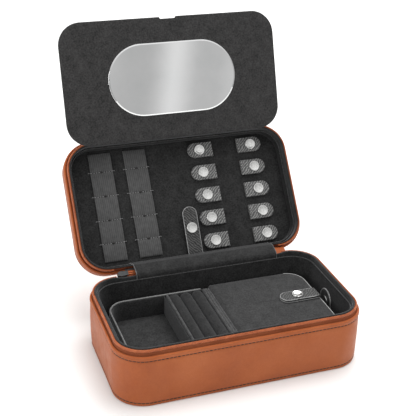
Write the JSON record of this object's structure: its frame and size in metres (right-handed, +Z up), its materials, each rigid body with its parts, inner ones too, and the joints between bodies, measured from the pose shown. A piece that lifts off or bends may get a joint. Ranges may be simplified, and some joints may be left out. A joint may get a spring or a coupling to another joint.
{
  "type": "jewellery case",
  "caption": "Open rectangular leather jewellery case with a zipped lid, a fold-out mirror panel, earring webbing, snap necklace tabs and a lift-out ring tray.",
  "frame": {"origin": "middle of the flat underside of the base", "axes": "+Z up, +Y towards the hinge at the back, +X to the right seen from the front"},
  "size_m": [0.235, 0.2491, 0.2741],
  "materials": {
    "tan_leather": "smooth leather with a fine grain",
    "black_leather": "pebbled leather",
    "board": "fibreboard wrapped in black velvet",
    "velvet": "short black velvet",
    "tray_velvet": "short black velvet over board",
    "webbing": "ribbed woven webbing",
    "zip_tape": "woven zip tape",
    "zip_coil": "nylon coil",
    "snap_metal": "polished",
    "slider_metal": "gunmetal",
    "mirror_glass": "polished"
  },
  "bodies": {
    "base": {"base_bottom_leather": "tan_leather", "base_side_leather": "tan_leather", "base_board": "board", "base_floor_pad": "velvet", "base_zip_tape": "zip_tape", "base_zip_coil": "zip_coil", "base_lip": "velvet", "base_liner": "velvet", "base_flap": "velvet", "side_strap_root": "black_leather"},
    "spine": {"hinge_leather": "tan_leather", "hinge_zip": "zip_tape", "hinge_flap": "velvet", "zip_slider": "slider_metal"},
    "pull": {"zip_pull": "slider_metal"},
    "lid": {"lid_top_leather": "tan_leather", "lid_side_leather": "tan_leather", "lid_board": "board", "lid_floor_pad": "velvet", "lid_zip_tape": "zip_tape", "lid_zip_coil": "zip_coil", "lid_lip": "velvet", "lid_liner": "velvet", "lid_flap": "velvet", "tab_bases": "black_leather", "earring_webbing_1": "webbing", "earring_webbing_2": "webbing"},
    "mirror_panel": {"panel_board": "board", "panel_mirror": "mirror_glass", "panel_hinge": "velvet", "panel_stud": "snap_metal"},
    "panel_strap": {"panel_strap": "black_leather", "panel_strap_snap": "snap_metal"},
    "tray": {"tray_shell": "board", "tray_piping": "velvet", "tray_divider": "velvet", "ring_roll_1": "velvet", "ring_roll_2": "velvet", "ring_roll_3": "velvet", "tray_bar": "velvet"},
    "tray_lid": {"tray_lid": "tray_velvet", "tray_strap_base": "black_leather"},
    "tray_strap": {"tray_strap": "black_leather", "tray_strap_snap": "snap_metal"},
    "side_strap": {"side_strap": "black_leather", "side_strap_snap": "snap_metal"},
    "tab_1": {"necklace_tab_1": "black_leather"},
    "tab_2": {"necklace_tab_2": "black_leather"},
    "tab_3": {"necklace_tab_3": "black_leather"},
    "tab_4": {"necklace_tab_4": "black_leather"},
    "tab_5": {"necklace_tab_5": "black_leather"},
    "tab_6": {"necklace_tab_6": "black_leather"},
    "tab_7": {"necklace_tab_7": "black_leather"},
    "tab_8": {"necklace_tab_8": "black_leather"},
    "tab_9": {"necklace_tab_9": "black_leather"},
    "tab_10": {"necklace_tab_10": "black_leather"}
  },
  "joints": [
    {"name": "hinge_lower_crease", "type": "hinge", "parent": "base", "child": "spine", "pos_m": [0, 0.06606, 0.05258], "axis": [-1, 0, 0], "range_deg": [-63.33, 0]},
    {"name": "hinge_upper_crease", "type": "hinge", "parent": "spine", "child": "lid", "pos_m": [0, 0.0726, 0.05587], "axis": [-1, 0, 0], "range_deg": [-63.33, 0]},
    {"name": "zip_pull_swing", "type": "hinge", "parent": "spine", "child": "pull", "pos_m": [-0.0785, 0.07117, 0.05056], "axis": [0, 0.8936, 0.4489], "range_deg": [-75, 75]},
    {"name": "mirror_panel_fold", "type": "hinge", "parent": "lid", "child": "mirror_panel", "pos_m": [0, 0.14717, 0.15813], "axis": [-1, 0, 0], "range_deg": [-161.88, 0]},
    {"name": "panel_strap_lift", "type": "hinge", "parent": "lid", "child": "panel_strap", "pos_m": [0.0021, 0.08671, 0.05579], "axis": [1, 0, 0], "range_deg": [0, 70]},
    {"name": "necklace_tab_1_lift", "type": "hinge", "parent": "lid", "child": "tab_1", "pos_m": [0.0371, 0.09352, 0.06344], "axis": [0, 0.5971, 0.8022], "range_deg": [0, 100]},
    {"name": "necklace_tab_2_lift", "type": "hinge", "parent": "lid", "child": "tab_2", "pos_m": [0.0371, 0.10779, 0.08261], "axis": [0, 0.5971, 0.8022], "range_deg": [0, 100]},
    {"name": "necklace_tab_3_lift", "type": "hinge", "parent": "lid", "child": "tab_3", "pos_m": [0.0371, 0.12206, 0.10178], "axis": [0, 0.5971, 0.8022], "range_deg": [0, 100]},
    {"name": "necklace_tab_4_lift", "type": "hinge", "parent": "lid", "child": "tab_4", "pos_m": [0.0371, 0.13633, 0.12095], "axis": [0, 0.5971, 0.8022], "range_deg": [0, 100]},
    {"name": "necklace_tab_5_lift", "type": "hinge", "parent": "lid", "child": "tab_5", "pos_m": [0.0371, 0.1506, 0.14012], "axis": [0, 0.5971, 0.8022], "range_deg": [0, 100]},
    {"name": "necklace_tab_6_lift", "type": "hinge", "parent": "lid", "child": "tab_6", "pos_m": [0.0707, 0.09352, 0.06344], "axis": [0, -0.5971, -0.8022], "range_deg": [0, 100]},
    {"name": "necklace_tab_7_lift", "type": "hinge", "parent": "lid", "child": "tab_7", "pos_m": [0.0707, 0.10779, 0.08261], "axis": [0, -0.5971, -0.8022], "range_deg": [0, 100]},
    {"name": "necklace_tab_8_lift", "type": "hinge", "parent": "lid", "child": "tab_8", "pos_m": [0.0707, 0.12206, 0.10178], "axis": [0, -0.5971, -0.8022], "range_deg": [0, 100]},
    {"name": "necklace_tab_9_lift", "type": "hinge", "parent": "lid", "child": "tab_9", "pos_m": [0.0707, 0.13633, 0.12095], "axis": [0, -0.5971, -0.8022], "range_deg": [0, 100]},
    {"name": "necklace_tab_10_lift", "type": "hinge", "parent": "lid", "child": "tab_10", "pos_m": [0.0707, 0.1506, 0.14012], "axis": [0, -0.5971, -0.8022], "range_deg": [0, 100]},
    {"name": "tray_lift", "type": "slide", "parent": "base", "child": "tray", "axis": [0, 0, 1], "range_m": [0, 0.07]},
    {"name": "tray_lid_hinge", "type": "hinge", "parent": "tray", "child": "tray_lid", "pos_m": [0.0039, 0, 0.0385], "axis": [0, -1, 0], "range_deg": [0, 110]},
    {"name": "tray_strap_lift", "type": "hinge", "parent": "tray_lid", "child": "tray_strap", "pos_m": [0.0954, 0.0035, 0.0418], "axis": [0, 1, 0], "range_deg": [0, 100]},
    {"name": "side_strap_lean", "type": "hinge", "parent": "base", "child": "side_strap", "pos_m": [0.1079, 0.0035, 0.017], "axis": [0, -1, 0], "range_deg": [0, 15]}
  ]
}
